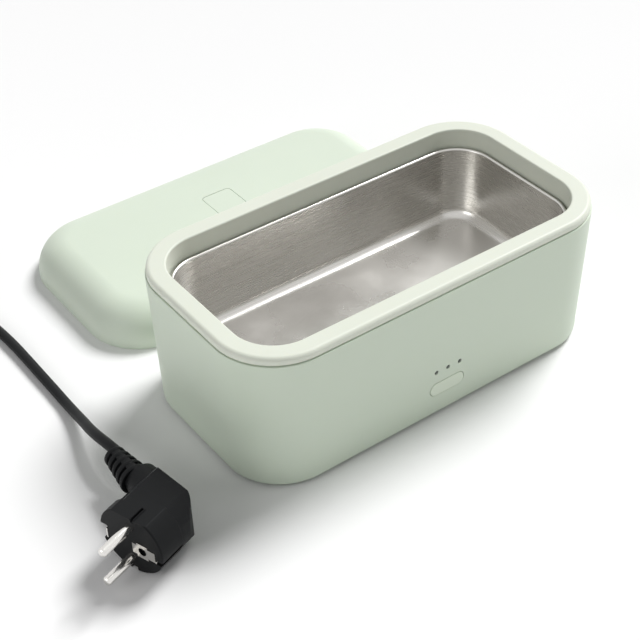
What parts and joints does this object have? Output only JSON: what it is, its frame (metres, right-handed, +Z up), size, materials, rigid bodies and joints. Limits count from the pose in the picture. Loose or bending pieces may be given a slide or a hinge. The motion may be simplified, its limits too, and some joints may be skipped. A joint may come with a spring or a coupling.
{
  "type": "electric lunch box",
  "caption": "Heated lunch box with rounded corners, lift-off lid, steel food container, push button and a detachable mains lead",
  "frame": {"origin": "on the table, at the middle of the base rectangle that box and lid take together, the lead left out", "axes": "+X along the box towards its inlet end, +Y from the button face towards the lid behind the box, +Z up"},
  "size_m": [0.3675, 0.3041, 0.0844],
  "materials": {
    "mint_plastic": "satin moulded plastic, pale mint green",
    "rim_plastic": "satin moulded plastic, creamy green",
    "well_plastic": "matt heat-proof plastic",
    "base_plastic": "matt moulded plastic",
    "foot_rubber": "matt rubber",
    "screw_steel": "zinc plated",
    "plate_aluminium": "brushed",
    "seal_silicone": "matt silicone",
    "contact_brass": "satin",
    "pad_felt": "mineral felt",
    "board_resin": "solder mask",
    "light_resin": "clear resin",
    "window_plastic": "smoked",
    "switch_plastic": "matt",
    "relay_plastic": "satin",
    "pin_nickel": "nickel plated",
    "wire_plastic": "wire insulation",
    "button_plastic": "satin, a little paler than the body",
    "container_steel": "brushed inside, polished rolled edge",
    "gasket_silicone": "matt silicone",
    "vent_plastic": "satin",
    "lead_black": "matt moulded vinyl",
    "cord_black": "satin sheath",
    "tie_fabric": "hook and loop band"
  },
  "bodies": {
    "box": {"outer_shell": "mint_plastic", "rim_collar": "rim_plastic", "inner_well": "well_plastic", "base_cover": "base_plastic", "rubber_feet": "foot_rubber", "base_screws": "screw_steel", "rim_screws": "screw_steel", "heating_plate": "plate_aluminium", "plate_seal": "seal_silicone", "heater_block": "plate_aluminium", "heater_straps": "screw_steel", "strap_screws": "screw_steel", "thermostat": "plate_aluminium", "thermal_fuse": "contact_brass", "insulation_pad": "pad_felt", "control_board": "board_resin", "board_screws": "screw_steel", "status_lights": "light_resin", "light_windows": "window_plastic", "tact_switch": "switch_plastic", "power_board": "board_resin", "relay": "relay_plastic", "inlet_housing": "switch_plastic", "inlet_pins": "pin_nickel", "mains_wires": "wire_plastic", "heater_wires": "wire_plastic", "plug_body": "lead_black", "plug_pins": "pin_nickel", "plug_earth_clips": "pin_nickel", "plug_relief": "lead_black", "cord_run": "cord_black", "cord_coil": "cord_black", "cord_tie": "tie_fabric", "connector_relief": "lead_black", "connector_body": "lead_black", "connector_contacts": "contact_brass"},
    "button": {"power_button": "button_plastic", "switch_plunger": "well_plastic"},
    "container": {"food_container": "container_steel"},
    "lid": {"lid_shell": "mint_plastic", "lid_liner": "well_plastic", "lid_gasket": "gasket_silicone", "liner_screws": "screw_steel"},
    "vent": {"vent_cap": "vent_plastic", "vent_seal": "seal_silicone"}
  },
  "joints": [
    {"name": "button_press", "type": "slide", "parent": "box", "child": "button", "axis": [0, 1, 0], "range_m": [0, 0.0008], "stiffness_N_per_m": 1500},
    {"name": "container_lift", "type": "slide", "parent": "box", "child": "container", "axis": [0, 0, 1], "range_m": [0, 0.09]},
    {"name": "lid_lift", "type": "slide", "parent": "box", "child": "lid", "axis": [0, 0, 1], "range_m": [0, 0.15]},
    {"name": "vent_lift", "type": "slide", "parent": "lid", "child": "vent", "axis": [0, 0, 1], "range_m": [0, 0.004]}
  ]
}
